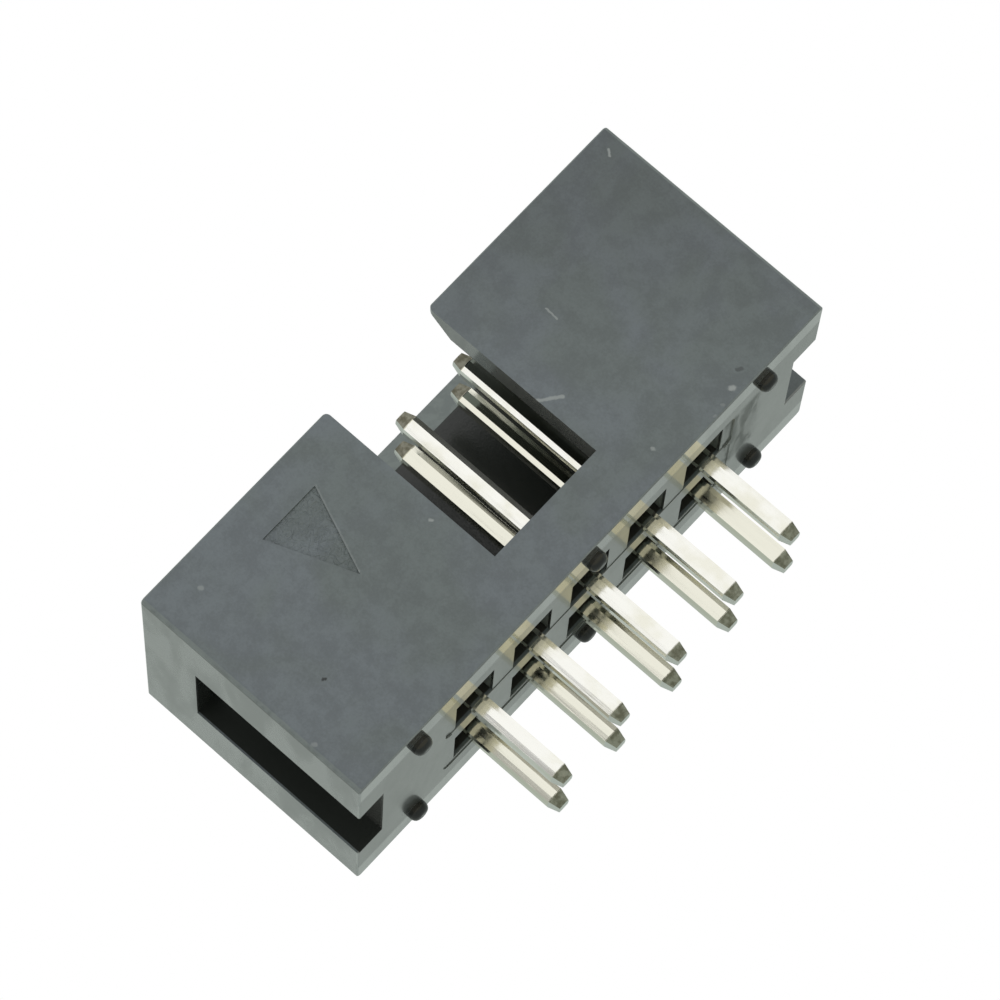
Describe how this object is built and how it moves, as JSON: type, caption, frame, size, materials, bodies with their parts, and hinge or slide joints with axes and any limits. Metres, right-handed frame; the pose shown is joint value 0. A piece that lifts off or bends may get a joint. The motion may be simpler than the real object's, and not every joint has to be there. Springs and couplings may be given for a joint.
{
  "type": "idc box header",
  "caption": "Shrouded two-row pin header for a through-hole board, with a key slot, open end windows and straight square pins, that takes a ribbon cable socket.",
  "frame": {"origin": "centre of the pin grid, on the surface of the board that the standoffs seat on", "axes": "+X runs along the two rows of pins, away from pin 1; -Y faces out of the wall with the key slot and the pin 1 mark; +Z points out of the well's mouth, the way the cable socket leaves, and the tails point along -Z"},
  "size_m": [0.0204, 0.0088, 0.0122],
  "materials": {
    "housing_plastic": "black moulded thermoplastic, satin on the side walls and glossier on the ends and underside",
    "pin_metal": "bright tin plating over brass"
  },
  "bodies": {
    "root": {"housing": "housing_plastic", "contact_pin_01": "pin_metal", "contact_pin_02": "pin_metal", "contact_pin_03": "pin_metal", "contact_pin_04": "pin_metal", "contact_pin_05": "pin_metal", "contact_pin_06": "pin_metal", "contact_pin_07": "pin_metal", "contact_pin_08": "pin_metal", "contact_pin_09": "pin_metal", "contact_pin_10": "pin_metal"}
  },
  "joints": []
}
